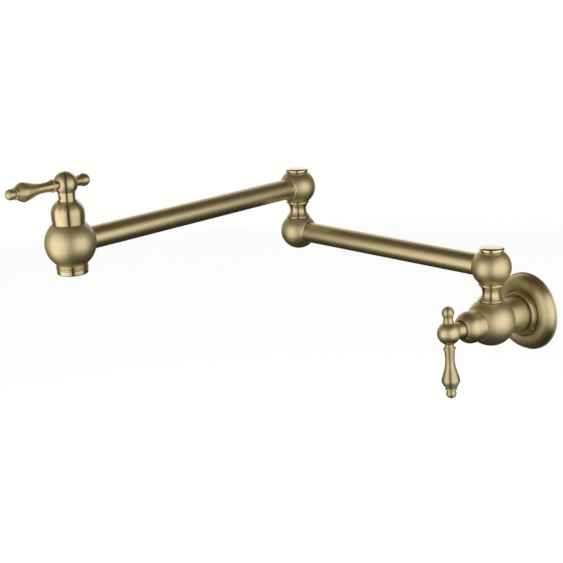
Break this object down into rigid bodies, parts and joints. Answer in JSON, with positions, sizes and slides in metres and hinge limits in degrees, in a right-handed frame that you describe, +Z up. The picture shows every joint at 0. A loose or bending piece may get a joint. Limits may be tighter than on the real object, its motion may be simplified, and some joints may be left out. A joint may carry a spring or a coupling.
{
  "type": "pot filler tap",
  "caption": "Wall mounted double-jointed swing spout with a lever valve at the wall and another above the outlet, in brushed brass with ball joints and spool collars.",
  "frame": {"origin": "on the supply inlet's axis, in the plane of the wall and of the flange's back face", "axes": "+Y into the wall along the supply inlet, so the tap stands out towards -Y; +Z up; +X to the right as a user facing the wall sees it"},
  "size_m": [0.3036, 0.4528, 0.2322],
  "materials": {
    "brushed_brass": "satin brushed antique brass",
    "polished_brass": "polished brass",
    "raw_brass": "machined, unplated",
    "seal_rubber": "moulded nitrile rubber",
    "ceramic": "lapped alumina ceramic",
    "acetal": "moulded acetal",
    "stainless": "stainless screw"
  },
  "bodies": {
    "wall_side": {"flange": "brushed_brass", "flange_screw": "stainless", "wall_valve_body": "brushed_brass", "wall_seat_seal": "seal_rubber", "wall_fixed_disc": "ceramic", "wall_cartridge_body": "raw_brass", "wall_bonnet": "brushed_brass", "shoulder_collar": "brushed_brass", "shoulder_spindle": "raw_brass", "shoulder_lower_seal_ring": "seal_rubber", "shoulder_upper_seal_ring": "seal_rubber", "shoulder_slip_washer": "acetal", "shoulder_retaining_nut": "raw_brass"},
    "wall_handle": {"wall_turning_disc": "ceramic", "wall_stem": "raw_brass", "wall_stem_seal_ring": "seal_rubber", "wall_handle_hub": "brushed_brass", "wall_lever": "brushed_brass", "wall_finial": "brushed_brass", "wall_hub_screw": "stainless"},
    "inner_arm": {"shoulder_ball": "brushed_brass", "shoulder_cap": "polished_brass", "inner_tube": "brushed_brass", "elbow_lower_ball": "brushed_brass", "elbow_collar": "brushed_brass", "elbow_spindle": "raw_brass", "elbow_lower_seal_ring": "seal_rubber", "elbow_upper_seal_ring": "seal_rubber", "elbow_slip_washer": "acetal", "elbow_retaining_nut": "raw_brass"},
    "outer_arm": {"elbow_upper_ball": "brushed_brass", "elbow_cap": "polished_brass", "outer_tube": "brushed_brass", "spout_body": "brushed_brass", "spout_seat_seal": "seal_rubber", "spout_fixed_disc": "ceramic", "spout_cartridge_body": "raw_brass", "spout_bonnet": "brushed_brass", "aerator_housing": "brushed_brass", "aerator_insert": "acetal", "aerator_washer": "seal_rubber"},
    "spout_handle": {"spout_turning_disc": "ceramic", "spout_stem": "raw_brass", "spout_stem_seal_ring": "seal_rubber", "spout_handle_hub": "brushed_brass", "spout_lever": "brushed_brass", "spout_finial": "brushed_brass", "spout_hub_screw": "stainless"}
  },
  "joints": [
    {"name": "shoulder_swivel", "type": "hinge", "parent": "wall_side", "child": "inner_arm", "pos_m": [0, -0.0505, 0.0535], "axis": [0, 0, 1], "range_deg": [-9.85, 170.15]},
    {"name": "elbow_swivel", "type": "hinge", "parent": "inner_arm", "child": "outer_arm", "pos_m": [-0.24632, -0.09327, 0.10148], "axis": [0, 0, 1], "range_deg": [-270, 90]},
    {"name": "wall_valve", "type": "hinge", "parent": "wall_side", "child": "wall_handle", "pos_m": [0, -0.1054, 0], "axis": [0, -1, 0], "range_deg": [-3.5, 86.5]},
    {"name": "spout_valve", "type": "hinge", "parent": "outer_arm", "child": "spout_handle", "pos_m": [-0.19499, -0.38884, 0.15638], "axis": [0, 0, 1], "range_deg": [0, 90]}
  ]
}
